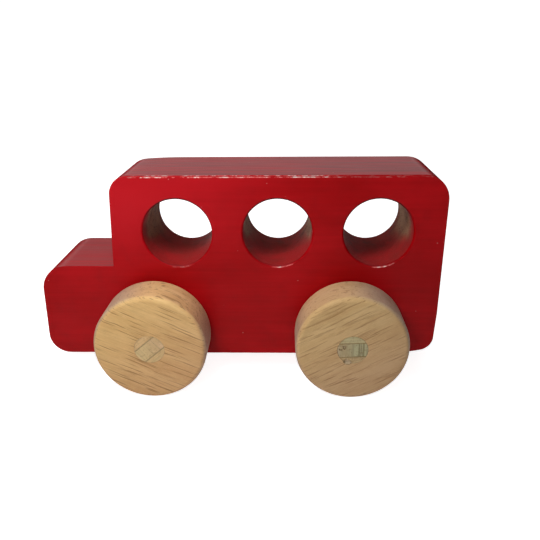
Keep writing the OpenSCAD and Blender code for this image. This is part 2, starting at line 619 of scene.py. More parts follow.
    def glint_reach(self, sheet: NodeSheet, place: Socket) -> Socket:
        """Finds where the edges carry painted glints, most along the middle of the roof and the last
        window.

        Args:
            sheet: The sheet to draw on.
            place: Coordinates in millimetres.

        Returns:
            1 where the painted glint is strongest and near 0 where there is none.
        """
        x, _, z = sheet.parts(place)
        along = sheet.step(sheet.size_of(x), *self.glint_along, *self.glint_range)
        roof = sheet.product(along, sheet.step(z, *self.dust_heights, self.low_glint, 1.0))
        tail = sheet.step(x, *self.sill_along, 0.0, self.sill_glint)
        sill = sheet.product(tail, sheet.step(z, *reversed(self.dust_heights)))
        return sheet.math("MAXIMUM", roof, sill)

    def painted_edge_glints(self, sheet: NodeSheet, place: Socket, red: Socket) -> Socket:
        """Paints glints as pink and white dashes low on the level edges that look up.

        Args:
            sheet: The sheet to draw on.
            place: Coordinates in millimetres.
            red: The paint's colour.

        Returns:
            The colour.
        """
        ahead, _, up = sheet.parts(sheet.facing())
        slope = sheet.product(sheet.step(up, *self.rim_start), sheet.step(up, *self.rim_end))
        aside = sheet.math("ADD", sheet.math("DIVIDE", ahead, up), self.rim_aside)
        level = sheet.step(sheet.size_of(aside), *self.rim_level)
        _, y, z = sheet.parts(place)
        drop = sheet.math("DIVIDE", sheet.math("SUBTRACT", self.roof, z), self.band)
        inset = sheet.math("SUBTRACT", self.half_width, sheet.size_of(y))
        inset = sheet.math("DIVIDE", inset, self.band)
        below_roof = sheet.product(
            sheet.step(drop, *self.band_foot),
            sheet.step(drop, *self.band_head),
            sheet.step(inset, *self.band_inset),
        )
        edge = sheet.product(sheet.math("MAXIMUM", slope, below_roof), level)
        dashes = sheet.noise(place, self.dashes)
        glint = sheet.mix(sheet.step(dashes, *self.dash_white), self.glint_pink, self.pale_glint_and_nibs)
        amount = sheet.product(sheet.step(dashes, *self.dash_pink), self.glint_reach(sheet, place), edge)
        return sheet.mix(amount, red, glint)

    def sheen(self, sheet: NodeSheet, height: Socket, up: Socket, turned: Socket) -> Socket:
        """Gives the strength of the reflections, which dust takes away on top.

        Args:
            sheet: The sheet to draw on.
            height: The spot's Z in millimetres.
            up: How far the surface looks up.
            turned: How far it looks to the nose or the tail.

        Returns:
            The strength.
        """
        above = sheet.step(height, *self.dust_heights)
        low = sheet.step(above, 1.0, 0.0, 1.0, self.low_sheen)
        return sheet.product(
            sheet.step(up, *self.top_tilt, self.side_sheen, self.top_sheen),
            sheet.step(turned, *self.end_tilt, 1.0, self.end_sheen),
            sheet.math("POWER", low, sheet.step(up, *self.top_tilt)),
        )

    def relief(self, sheet: NodeSheet, film: dict[str, Socket]) -> Socket:
        """Gives the film's relief, where 1 is film_depth.

        Args:
            sheet: The sheet to draw on.
            film: The paint film's values.

        Returns:
            The height.
        """
        height = sheet.product(film["Grain"], self.grain_relief)
        height = sheet.plus(height, film["Strokes"], self.stroke_relief)
        return sheet.plus(height, film["Nibs"], self.nib_relief)

    def material(self) -> bpy.types.Material:
        """Builds the paint's material.

        Returns:
            The material.
        """
        material, sheet, shader = new_material("red_paint")
        place = sheet.millimetres()
        height = sheet.parts(place)[2]
        film = sheet.effect(PaintFilm().group(), place)
        grime = sheet.effect(Grime().group(), place)["Grime"]
        ahead, _, up = sheet.parts(sheet.facing())
        turned = sheet.size_of(ahead)
        red = self.painted_light_pool(sheet, place, film, self.colour(sheet, film, grime))
        red = self.dusted_and_shaded_under(sheet, height, film, red, up)
        # Pale nibs in the film, in the same white as the painted glints.
        red = sheet.mix(sheet.product(film["Nibs"], self.nib_share), red, self.pale_glint_and_nibs)
        matt = sheet.step(turned, *self.end_tilt, self.roughness, self.end_roughness)
        matt = sheet.math("SUBTRACT", matt, self.grain_roughness / 2)
        sheet.fill(
            shader,
            Base_Color=self.painted_edge_glints(sheet, place, red),
            Roughness=sheet.plus(matt, film["Grain"], self.grain_roughness),
            IOR=self.ior,
            Specular_IOR_Level=self.sheen(sheet, height, up, turned),
            Normal=sheet.bump(self.relief(sheet, film), self.film_depth),
        )
        return material


@dataclass(frozen=True)
class WindowWall:
    """The drilled wall of a window, red where the brush reached in, dirty wood beyond, in millimetres."""

    paint: RedPaint
    side_reach: float = 9.0
    floor_reach: float = 24.0
    near_shade_reach: float = 14.0
    far_rim_shade_reach: float = 9.0
    ragged: Mottle = Mottle((4.0, 12.0, 4.0), 4.0, 0.62)
    ragged_least: float = 0.5
    paint_fade: Span = (1.5, 0.25)
    floor_tilt: Span = (0.15, 0.80)
    thin_paint: Colour = (0.37, 0.030, 0.029)
    thin_share: float = 0.5
    paint_dirt: float = 0.6
    wood: Colour = (0.39, 0.21, 0.118)
    near_rim_shade: Colour = (0.20, 0.115, 0.067)
    far_rim_shaded_paint: Colour = (0.17, 0.012, 0.011)
    far_rim_shade_share: float = 0.85
    stained: Colour = (0.235, 0.024, 0.018)
    dark: Colour = (0.080, 0.019, 0.014)
    pore_share: float = 0.8
    dirt_range: Span = (0.60, 0.85)
    sheen: float = 0.25
    bare_roughness: float = 0.68
    paint_roughness: float = 0.66
    relief_depth: float = 0.12 * MM

    def painted(self, sheet: NodeSheet, place: Socket, floor: Socket) -> Socket:
        """Finds where the paint covers the wall, which is deepest along the floor.

        Args:
            sheet: The sheet to draw on.
            place: Coordinates in millimetres.
            floor: 1 on the lowest part of the wall and 0 on its sides.

        Returns:
            1 under full paint and 0 where the wood shows.
        """
        depth = sheet.math("ADD", sheet.parts(place)[1], self.paint.half_width)
        uneven = sheet.math("ADD", sheet.noise(place, self.ragged), self.ragged_least)
        reach = sheet.product(sheet.step(floor, 0.0, 1.0, self.side_reach, self.floor_reach), uneven)
        return sheet.step(sheet.math("DIVIDE", depth, reach), *self.paint_fade)

    def bare_wood(
        self, sheet: NodeSheet, place: Socket, floor: Socket, pores: Socket, grime: Socket
    ) -> Socket:
        """Gives the colour of the wood, with painted shade near the left-hand rim, stained along the
        floor, and dark red paint under painted shade at the right-hand rim.

        Args:
            sheet: The sheet to draw on.
            place: Coordinates in millimetres.
            floor: 1 on the lowest part of the wall and 0 on its sides.
            pores: The wood's pores.
            grime: The grime's mask.

        Returns:
            The colour.
        """
        side = self.paint.half_width
        across = sheet.parts(place)[1]
        # Painted shade on the wood near the left-hand rim.
        unshaded = sheet.step(across, -side, self.near_shade_reach - side)
        wood = sheet.mix(unshaded, self.near_rim_shade, self.wood)
        wood = sheet.mix(sheet.product(pores, self.pore_share), wood, self.dark)
        wood = sheet.mix(floor, wood, self.stained)
        dirt = sheet.product(grime, sheet.step(floor, 0.0, 1.0, *self.dirt_range))
        wood = sheet.mix(dirt, wood, self.dark)
        # Dark red paint with painted shade along the right-hand rim.
        far = sheet.step(across, side - self.far_rim_shade_reach, side, 0.0, self.far_rim_shade_share)
        return sheet.mix(far, wood, self.far_rim_shaded_paint)

    def material(self) -> bpy.types.Material:
        """Builds the wall's material.

        Returns:
            The material.
        """
        material, sheet, shader = new_material("window_wall")
        place = sheet.millimetres()
        film = sheet.effect(PaintFilm().group(), place)
        grime = sheet.effect(Grime().group(), place)["Grime"]
        figure = sheet.effect(WoodFigure().group(), place)
        floor = sheet.step(sheet.parts(sheet.facing())[2], *self.floor_tilt)
        wood = self.bare_wood(sheet, place, floor, figure["Pores"], grime)
        painted = self.painted(sheet, place, floor)
        red = sheet.mix(self.thin_share, self.paint.colour(sheet, film, grime), self.thin_paint)
        red = sheet.mix(sheet.product(grime, self.paint_dirt), red, self.stained)
        relief = sheet.math("SUBTRACT", film["Grain"], figure["Pores"])
        sheet.fill(
            shader,
            Base_Color=sheet.mix(painted, wood, red),
            Roughness=sheet.step(painted, 0.0, 1.0, self.bare_roughness, self.paint_roughness),
            IOR=self.paint.ior,
            Specular_IOR_Level=self.sheen,
            Normal=sheet.bump(relief, self.relief_depth),
        )
        return material


@dataclass(frozen=True)
class BareWood:
    """Sanded hardwood with open pores, cut with its grain at a turn of its own."""

    name: str
    centre: Vector
    grain_turn: float
    pale: Colour
    warm: Colour
    seed: float
    pore: Colour = (0.245, 0.110, 0.030)
    pore_strength: float = 0.70
    fleck: Colour = (0.86, 0.62, 0.35)
    fleck_share: float = 0.35
    fibre_tone: float = 0.55
    band_tone: float = 0.8
    tone_rise: Span = (0.42, 0.95)
    grime_share: float = 0.16
    lit_tint: Colour = (1.0, 1.0, 0.90)
    shaded_tint: Colour = (0.89, 0.84, 0.86)
    light_turn: float = math.radians(120)
    light_span: Span = (-20.0, 20.0)
    tread_tint: Colour = (0.94, 0.94, 1.07)
    tread_tilt: Span = (0.5, 0.0)
    end_grain_and_cool_reflection: Colour = (0.335, 0.25, 0.23)
    cut_end_tilt: Span = (0.30, 0.95)
    cut_end_strength: float = 0.60
    roughness: float = 0.62
    fibre_roughness: float = 0.20
    fibre_relief: float = 0.25
    ior: float = 1.3
    pore_depth: float = 0.10 * MM
    dive: float = math.radians(2.0)
    seed_steps: Triple = (1.0, 3.0, 7.0)

    def turn(self) -> Matrix:
        """Gives the turn that brings the grain along X."""
        return Matrix.Rotation(self.dive, 3, "Z") @ Matrix.Rotation(self.grain_turn, 3, "Y")

    def grain_vector(self, sheet: NodeSheet) -> Socket:
        """Gives coordinates in millimetres from the piece's centre, with X along the grain.

        Args:
            sheet: The sheet to draw on.

        Returns:
            The coordinates.
        """
        turn = self.turn()
        shift = self.seed * Vector(self.seed_steps) - turn @ (self.centre * PER_MM)
        return sheet.mapped(sheet.millimetres(), turn=tuple(turn.to_euler()), shift=tuple(shift))

    def reach(self, sheet: NodeSheet, turn: float) -> Socket:
        """Measures how far the surface lies from the centre in one direction of the side view.

        Args:
            sheet: The sheet to draw on.
            turn: The direction, from X towards Z.

        Returns:
            The distance in millimetres.
        """
        x, _, z = sheet.parts(sheet.millimetres())
        across = sheet.math("SUBTRACT", x, self.centre.x * PER_MM)
        up = sheet.math("SUBTRACT", z, self.centre.z * PER_MM)
        return sheet.plus(sheet.product(up, math.sin(turn)), across, math.cos(turn))

    def colour(self, sheet: NodeSheet, figure: dict[str, Socket]) -> Socket:
        """Gives the wood's colour along the grain, with painted light on one side of the side view and
        painted shade on the other.

        Args:
            sheet: The sheet to draw on.
            figure: The wood figure's values.

        Returns:
            The colour.
        """
        tone = sheet.product(figure["Fibres"], self.fibre_tone)
        tone = sheet.plus(tone, figure["Bands"], self.band_tone)
        wood = sheet.mix(sheet.step(tone, *self.tone_rise), self.pale, self.warm)
        wood = sheet.mix(sheet.product(figure["Flecks"], self.fleck_share), wood, self.fleck)
        wood = sheet.mix(sheet.product(figure["Pores"], self.pore_strength), wood, self.pore)
        # Painted light and shade: yellower towards light_turn, greyer and darker on the opposite side.
        high = sheet.step(self.reach(sheet, self.light_turn), *self.light_span)
        wood = sheet.mix(1.0, wood, sheet.mix(high, self.shaded_tint, self.lit_tint), "MULTIPLY")
        facing = sheet.mapped(sheet.facing(), turn=tuple(self.turn().to_euler()))
        along, out, _ = sheet.parts(facing)
        tread = sheet.step(sheet.size_of(out), *self.tread_tilt)
        wood = sheet.mix(tread, wood, sheet.mix(1.0, wood, self.tread_tint, "MULTIPLY"))
        # End grain shows darker where the grain runs out of the surface; its cool tint is partly a
        # painted reflection of the sky.
        ends = sheet.step(sheet.size_of(along), *self.cut_end_tilt, 0.0, self.cut_end_strength)
        return sheet.mix(ends, wood, self.end_grain_and_cool_reflection)

    def material(self) -> bpy.types.Material:
        """Builds the wood's material.

        Returns:
            The material.
        """
        material, sheet, shader = new_material(self.name)
        grain = self.grain_vector(sheet)
        figure = sheet.effect(WoodFigure().group(), grain)
        grime = sheet.effect(Grime().group(), grain)["Grime"]
        wood = self.colour(sheet, figure)
        fibres = sheet.product(figure["Fibres"], self.fibre_relief)
        relief = sheet.math("SUBTRACT", fibres, figure["Pores"])
        smooth = self.roughness - self.fibre_roughness / 2
        sheet.fill(
            shader,
            Base_Color=sheet.mix(sheet.product(grime, self.grime_share), wood, self.pore),
            Roughness=sheet.plus(smooth, figure["Fibres"], self.fibre_roughness),
            IOR=self.ior,
            Normal=sheet.bump(relief, self.pore_depth),
        )
        return material


@dataclass(frozen=True)
class EndLook:
    """The tints of a sawn end, the side of it that a stain lies on, and how striped it is."""

    pale: Colour
    warm: Colour
    stain: Colour
    stain_turn: float
    stripes: float = 0.2
    striped_from: float = -10.0


@dataclass(frozen=True, kw_only=True)
class EndGrain(BareWood):
    """A sawn end, which the grain runs into: growth rings show as stripes and pores as dots."""

    look: EndLook
    seam_turn: float
    seam_place: float
    seam: Colour = (0.31, 0.225, 0.10)
    seam_edge: Span = (0.42, 0.10)
    seam_gaps: Span = (0.20, 0.55)
    seam_range: Span = (0.15, 0.9)
    stripe: Colour = (0.21, 0.18, 0.09)
    stripe_rise: Span = (0.50, 0.60)
    stripe_fade: float = 1.5
    faint_stripes: float = 0.15
    band_rise: Span = (0.35, 0.65)
    stain_wave: float = 4.0
    stain_edge: Span = (-1.5, 4.0)
    stain_share: float = 0.9
    dot_share: float = 0.4

    def turn(self) -> Matrix:
        """Gives the turn that brings the grain, which lies along the axle, along X."""
        return Matrix.Rotation(math.pi / 2, 3, "Z") @ Matrix.Rotation(self.grain_turn, 3, "Y")

    def stripes(self, sheet: NodeSheet, rings: Socket) -> Socket:
        """Draws the growth rings, which show on one part of the end only.

        Args:
            sheet: The sheet to draw on.
            rings: The wood figure's rings.

        Returns:
            How strongly a stripe shows.
        """
        look = self.look
        across = self.reach(sheet, 0.0)
        start = look.striped_from - self.stripe_fade
        end = look.striped_from + self.stripe_fade
        shown = sheet.step(across, start, end, self.faint_stripes * look.stripes, look.stripes)
        return sheet.product(sheet.step(rings, *self.stripe_rise), shown)

    def seams(self, sheet: NodeSheet, fibres: Socket) -> Socket:
        """Draws the two uneven gaps between the dowel and its wedge.

        Args:
            sheet: The sheet to draw on.
            fibres: The wood figure's fibres.

        Returns:
            How strongly a gap shows.
        """
        across = sheet.size_of(self.reach(sheet, self.seam_turn))
        off = sheet.size_of(sheet.math("SUBTRACT", across, self.seam_place))
        open_gap = sheet.step(fibres, *self.seam_gaps, *self.seam_range)
        return sheet.product(sheet.step(off, *self.seam_edge), open_gap)

    def colour(self, sheet: NodeSheet, figure: dict[str, Socket]) -> Socket:
        """Gives the colour of the sawn end.

        Args:
            sheet: The sheet to draw on.
            figure: The wood figure's values.

        Returns:
            The colour.
        """
        wood = sheet.mix(sheet.step(figure["Bands"], *self.band_rise), self.pale, self.warm)
        stained = self.reach(sheet, self.look.stain_turn)
        stained = sheet.plus(stained, figure["Fibres"], self.stain_wave)
        stained = sheet.step(stained, *self.stain_edge, 0.0, self.stain_share)
        wood = sheet.mix(stained, wood, self.look.stain)
        wood = sheet.mix(self.stripes(sheet, figure["Rings"]), wood, self.stripe)
        wood = sheet.mix(self.seams(sheet, figure["Fibres"]), wood, self.seam)
        dots = sheet.product(figure["Pores"], self.dot_share * self.pore_strength)
        return sheet.mix(dots, wood, self.pore)


@dataclass(frozen=True)
class TornWood:
    """The broken bottom of a chip, dark near the face from dirt and painted shade, fresh and pale deeper
    in, in millimetres.
    """

    name: str
    face: float
    lip_dirt_and_shade: Colour = (0.22, 0.155, 0.075)
    fresh: Colour = (0.60, 0.46, 0.29)
    lip_depths: Span = (0.18, 0.675)
    splinters: Mottle = Mottle((0.5, 0.5, 0.5), 3.0, 0.6)
    splinter_reach: float = 0.2
    splinter_roughness: float = 0.20
    roughness: float = 0.8
    ior: float = 1.3
    splinter_depth: float = 0.15 * MM

    def material(self) -> bpy.types.Material:
        """Builds the chip's material.

        Returns:
            The material.
        """
        material, sheet, shader = new_material(self.name)
        place = sheet.millimetres()
        splinters = sheet.noise(place, self.splinters)
        depth = sheet.math("SUBTRACT", self.face, sheet.size_of(sheet.parts(place)[1]))
        ragged = sheet.plus(depth, splinters, self.splinter_reach)
        smooth = self.roughness - self.splinter_roughness / 2
        sheet.fill(
            shader,
            Base_Color=sheet.mix(sheet.step(ragged, *self.lip_depths), self.lip_dirt_and_shade, self.fresh),
            Roughness=sheet.plus(smooth, splinters, self.splinter_roughness),
            IOR=self.ior,
            Normal=sheet.bump(splinters, self.splinter_depth),
        )
        return material


def in_scene(name: str, data: bpy.types.ID) -> bpy.types.Object:
    """Makes an object of a mesh, lamp or camera and puts it into the scene.

    Args:
        name: The object's name.
        data: The mesh, lamp or camera.

    Returns:
        The object.
    """
    made = bpy.data.objects.new(name, data)
    bpy.context.scene.collection.objects.link(made)
    return made


class Solid:
    """Bmesh steps that the bus's pieces share."""

    corner_segments: int = 10
    weld: float = 0.001 * MM
    flat: float = 0.99

    @staticmethod
    def from_mesh(mesh: bpy.types.Mesh) -> bmesh.types.BMesh:
        """Gives a bmesh of a mesh.

        Args:
            mesh: The mesh.

        Returns:
            A bmesh with the same faces.
        """
        solid = bmesh.new()
        solid.from_mesh(mesh)
        return solid

    @staticmethod
    def lathe(
        profile: Iterable[tuple[float, float]], roundings: dict[int, float], axle: Vector, steps: int
    ) -> bmesh.types.BMesh:
        """Spins a profile about a line along Y.

        Args:
            profile: Corners as radius and Y, in metres, round the section.
            roundings: Radius to round a corner with, by the corner's place in profile.
            axle: A point on the line.
            steps: Number of steps of the full turn.

        Returns:
            The closed solid.
        """
        solid = bmesh.new()
        corners = [solid.verts.new((axle.x + r, y, axle.z)) for r, y in profile]
        solid.faces.new(corners)
        for index, radius in roundings.items():
            bmesh.ops.bevel(
                solid,
                geom=[corners[index]],
                affect="VERTICES",
                offset=radius,
                segments=Solid.corner_segments,
                profile=0.5,
                material=-1,
            )
        bmesh.ops.delete(solid, geom=solid.faces[:], context="FACES_ONLY")
        bmesh.ops.spin(
            solid,
            geom=solid.verts[:] + solid.edges[:],
            cent=(axle.x, 0, axle.z),
            axis=(0, 1, 0),
            angle=2 * math.pi,
            steps=steps,
            use_merge=True,
        )
        bmesh.ops.remove_doubles(solid, verts=solid.verts[:], dist=Solid.weld)
        bmesh.ops.recalc_face_normals(solid, faces=solid.faces[:])
        return solid

    @staticmethod
    def rod(axle: Vector, radius: float, low: float, high: float, steps: int) -> bmesh.types.BMesh:
        """Makes a plain cylinder along Y.

        Args:
            axle: A point on its axis.
            radius: Its radius.
            low: Y of one end.
            high: Y of the other end.
            steps: Number of sides.

        Returns:
            The cylinder.
        """
        solid = bmesh.new()
        lay_down = Matrix.Rotation(math.pi / 2, 4, "X")
        middle = Matrix.Translation((axle.x, (low + high) / 2, axle.z))
        bmesh.ops.create_cone(
            solid,
            cap_ends=True,
            segments=steps,
            radius1=radius,
            radius2=radius,
            depth=high - low,
            matrix=middle @ lay_down,
        )
        return solid

    @staticmethod
    def carve(solid: bmesh.types.BMesh, cutter: bmesh.types.BMesh, how: Carve) -> bmesh.types.BMesh:
        """Cuts a solid with another. Both are used up.

        Args:
            solid: The solid to cut.
            cutter: The solid to cut it with.
            how: What the cutter does.

        Returns:
            What is left.
        """
        pair = []
        for name, shape in (("carved", solid), ("cutter", cutter)):
            mesh = bpy.data.meshes.new(name)
            shape.to_mesh(mesh)
            shape.free()
            pair.append(in_scene(name, mesh))
        boolean = pair[0].modifiers.new("carve", "BOOLEAN")
        boolean.operation = how.value
        boolean.solver = "EXACT"
        boolean.material_mode = "INDEX"
        boolean.object = pair[1]
        graph = bpy.context.evaluated_depsgraph_get()
        left = Solid.from_mesh(pair[0].evaluated_get(graph).data)
        for piece in pair:
            mesh = piece.data
            bpy.data.objects.remove(piece)
            bpy.data.meshes.remove(mesh)
        return left

    @staticmethod
    def soften(
        solid: bmesh.types.BMesh,
        edges: list[bmesh.types.BMEdge],
        width: float,
        segments: int,
        clamp: bool = True,
    ) -> list[bmesh.types.BMFace]:
        """Rounds edges.

        Args:
            solid: The solid.
            edges: The edges to round.
            width: How far the rounding reaches from an edge.
            segments: Number of steps of the rounding.
            clamp: Whether short edges nearby limit the width.

        Returns:
            The faces of the rounding.
        """
        made = bmesh.ops.bevel(
            solid,
            geom=edges,
            affect="EDGES",
            offset=width,
            segments=segments,
            profile=0.5,
            material=-1,
            clamp_overlap=clamp,
        )
        return made["faces"]

    @staticmethod
    def is_rim(edge: bmesh.types.BMEdge) -> bool:
        """Tells whether an edge lies between a flat side and another surface."""
        sides = [abs(f.normal.y) > Solid.flat for f in edge.link_faces]
        return len(sides) == 2 and sides[0] != sides[1]


@dataclass(frozen=True)
class Piece:
    """One finished piece and what it stands for in the CAD frame."""

    name: str
    body: str
    node: str
    slot: str
    sharp_angle: float = math.radians(50)

    def finish(self, solid: bmesh.types.BMesh, materials: list[bpy.types.Material]) -> bpy.types.Object:
        """Turns a bmesh into the piece, dressed and riding on its body. The bmesh is used up.

        Args:
            solid: The piece's shape, in the frame.
            materials: Its materials, in the order of the faces' material numbers.

        Returns:
            The piece's object.
        """
        mesh = bpy.data.meshes.new(self.name)
        for face in solid.faces:
            face.smooth = True
        for edge in solid.edges:
            edge.smooth = edge.calc_face_angle(0.0) < self.sharp_angle
        solid.to_mesh(mesh)
        solid.free()
        for material in materials:
            mesh.materials.append(material)
        piece = in_scene(self.name, mesh)
        weighted = piece.modifiers.new("flat_faces_lead", "WEIGHTED_NORMAL")
        weighted.weight = 100
        weighted.keep_sharp = True
        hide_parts(self.node)
        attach(piece, self.body)
        LOG.info("%s: %d faces, rides on %s", self.name, len(mesh.polygons), self.body)
        return piece


@dataclass
class BusBody:
    """The painted block: bonnet and cabin in one, drilled for three windows and two axles."""

    low: Vector
    high: Vector
    windows: list[Vector]
    window_r: float
    axles: list[Vector]
    axle_bore_r: float = 6.45 * MM

    # Side view
    bonnet_length: float = 33.1 * MM
    bonnet_height: float = 42.8 * MM
    nose_lean: float = 1.5 * MM
    windscreen_lean: float = 1.9 * MM
    roof_front_r: float = 8.5 * MM
    roof_rear_r: float = 11.0 * MM
    bonnet_corner_r: float = 11.5 * MM
    sill_front_r: float = 9.0 * MM
    sill_rear_r: float = 6.5 * MM
    tail_rise: float = 2.8 * MM
    tail_rise_length: float = 17.0 * MM
    tail_lean: float = 0.8 * MM
    tail_lean_height: float = 20.0 * MM

    # Hand sanding, and paint at the edges
    sanded_off: float = 1.2 * MM
    sanded_length: float = 16.0 * MM
    edge: float = 0.28 * MM
    window_edge: float = 0.9 * MM
    paint_build: float = 0.3 * MM
    edge_wobble: float = 0.10 * MM
    wobble_waves: tuple[Span, ...] = ((0.45, 1.0), (1.3, 0.5))

    # Fineness of the mesh
    edge_step: float = 1.6 * MM
    edge_segments: int = 5
    window_edge_segments: int = 6
    corner_segments: int = 16
    bore_steps: int = 128
    overrun: float = 2.0 * MM

    def outline(self) -> bmesh.types.BMesh:
        """Draws the side view as one face on the left side, with its corners rounded.

        Returns:
            The face.
        """
        solid = bmesh.new()
        windscreen = self.low.x + self.bonnet_length
        bonnet_top = self.low.z + self.bonnet_height
        tilt = math.atan2(self.nose_lean, self.bonnet_height)
        nose = self.low.x - self.sill_front_r * (math.tan(tilt) + 1 / math.cos(tilt) - 1)
        corners = (
            (nose, self.low.z, self.sill_front_r),
            (self.high.x - self.tail_rise_length, self.low.z, 0.0),
            (self.high.x - self.tail_lean, self.low.z + self.tail_rise, self.sill_rear_r),
            (self.high.x, self.low.z + self.tail_lean_height, 0.0),
            (self.high.x, self.high.z, self.roof_rear_r),
            (windscreen + self.windscreen_lean, self.high.z, self.roof_front_r),
            (windscreen, bonnet_top, 0.0),
            (nose + self.nose_lean, bonnet_top, self.bonnet_corner_r),
        )
        points = [solid.verts.new((x, self.low.y, z)) for x, z, _ in corners]
        solid.faces.new(points)
        spots = [point.co.copy() for point in points]
        for index, (_, _, radius) in enumerate(corners):
            if radius > 0:
                here = spots[index]
                back = spots[index - 1] - here
                ahead = spots[(index + 1) % len(spots)] - here
                bmesh.ops.bevel(
                    solid,
                    geom=[points[index]],
                    affect="VERTICES",
                    offset=radius / math.tan(back.angle(ahead) / 2),
                    segments=self.corner_segments,
                    profile=0.5,
                    material=-1,
                )
        for edge in [e for e in solid.edges if e.calc_length() > 2 * self.edge_step]:
            cuts = round(edge.calc_length() / self.edge_step) - 1
            bmesh.ops.subdivide_edges(solid, edges=[edge], cuts=cuts)
        return solid

    def block(self) -> bmesh.types.BMesh:
        """Extrudes the side view across the bus and drills the windows and the axle bores.

        Returns:
            The drilled block.
        """
        solid = self.outline()
        grown = bmesh.ops.extrude_face_region(solid, geom=solid.faces[:])
        moved = [v for v in grown["geom"] if isinstance(v, bmesh.types.BMVert)]
        bmesh.ops.translate(solid, verts=moved, vec=(0, self.high.y - self.low.y, 0))
        bmesh.ops.recalc_face_normals(solid, faces=solid.faces[:])
        self.sand_corner(moved)
        ends = (self.low.y - self.overrun, self.high.y + self.overrun)
        holes = [(place, self.window_r - self.paint_build) for place in self.windows]
        holes += [(place, self.axle_bore_r) for place in self.axles]
        for place, radius in holes:
            drill = Solid.rod(place, radius, *ends, self.bore_steps)
            for face in drill.faces:
                face.material_index = 1
            solid = Solid.carve(solid, drill, Carve.CUT_AWAY)
        return solid

    def sand_corner(self, far_side: list[bmesh.types.BMVert]) -> None:
        """Sands the right-hand front corner of the roof down, as it was done by hand.

        Args:
            far_side: The vertices of the block's right-hand side.
        """
        front = self.low.x + self.bonnet_length + self.windscreen_lean
        start = self.high.z - self.roof_front_r
        for vert in far_side:
            near_front = 1 - (vert.co.x - front) / (self.roof_front_r + self.sanded_length)
            near_top = (vert.co.z - start) / self.roof_front_r
            if near_front > 0 and near_top > 0:
                vert.co.z -= self.sanded_off * min(near_front, 1.0) ** 2 * near_top**3

    def soften_edges(self, solid: bmesh.types.BMesh) -> None:
        """Rounds every edge of the two sides by hand, a little unevenly.

        Args:
            solid: The drilled block.
        """
        solid.normal_update()
        rims = [e for e in solid.edges if Solid.is_rim(e)]
        windows = [e for e in rims if self.is_at_window(e)]
        others = [e for e in rims if not self.is_at_window(e)]
        faces = Solid.soften(solid, windows, self.window_edge, self.window_edge_segments, clamp=False)
        faces += Solid.soften(solid, others, self.edge, self.edge_segments)
        rounded = set(faces)
        for face in faces:
            face.material_index = 0
        inner = {v for f in faces for v in f.verts if all(g in rounded for g in v.link_faces)}
        solid.normal_update()
        moves = {}
        for vert in inner:
            spot = vert.co * PER_MM
            wave = sum(share * noise.noise(spot * pitch) for pitch, share in self.wobble_waves)
            moves[vert] = vert.normal * (self.edge_wobble * min(wave, 0.0))
        for vert, move in moves.items():
            vert.co += move

    def is_at_window(self, edge: bmesh.types.BMEdge) -> bool:
        """Tells whether an edge lies round a window.

        Args:
            edge: An edge of one of the two sides.

        Returns:
            Whether it does.
        """
        spot = edge.verts[0].co
        near = min(math.hypot(spot.x - w.x, spot.z - w.z) for w in self.windows)
        return near < self.window_r + self.edge

    def build(self) -> bpy.types.Object:
        """Builds and dresses the block.

        Returns:
            The block.
        """
        paint = RedPaint(half_width=self.high.y * PER_MM, roof=self.high.z * PER_MM)
        wall = WindowWall(paint)
        solid = self.block()
        self.soften_edges(solid)
        piece = Piece("bus_block", "bus_body", "body", "red_paint")
        return piece.finish(solid, [paint.material(), wall.material()])


@dataclass(frozen=True)
class Chip:
    """A splinter that broke out of the left-hand end of an axle, placed from the axle's line."""

    across: float
    up: float
    half_width: float
    half_height: float
    depth: float
    seed: float
    roughness: float = 0.35
    pitch: float = 1.7
    subdivisions: int = 4

    def lump(self, centre: Vector, face: float) -> bmesh.types.BMesh:
        """Makes the uneven lump that the chip is carved with.

        Args:
            centre: A point on the axle's line.
            face: Y of the face that the chip broke out of.

        Returns:
            The lump, half of which stands out of the face.
        """
        solid = bmesh.new()
        bmesh.ops.create_icosphere(solid, subdivisions=self.subdivisions, radius=1.0)
        start = Vector((self.seed, self.seed, self.seed))
        for vert in solid.verts:
            vert.co *= 1 + self.roughness * noise.noise(self.pitch * vert.co + start)
        bmesh.ops.scale(solid, vec=(self.half_width, self.depth, self.half_height), verts=solid.verts)
        middle = (centre.x + self.across, face, centre.z + self.up)
        bmesh.ops.translate(solid, vec=middle, verts=solid.verts)
        for facet in solid.faces:
            facet.material_index = 1
        return solid


@dataclass(frozen=True)
class WheelLook:
    """How the grain lies in one wheel, how strongly it shows, and the wheel's tint."""

    grain_turn: float
    seed: float
    pale: Colour
    warm: Colour
    pore_strength: float


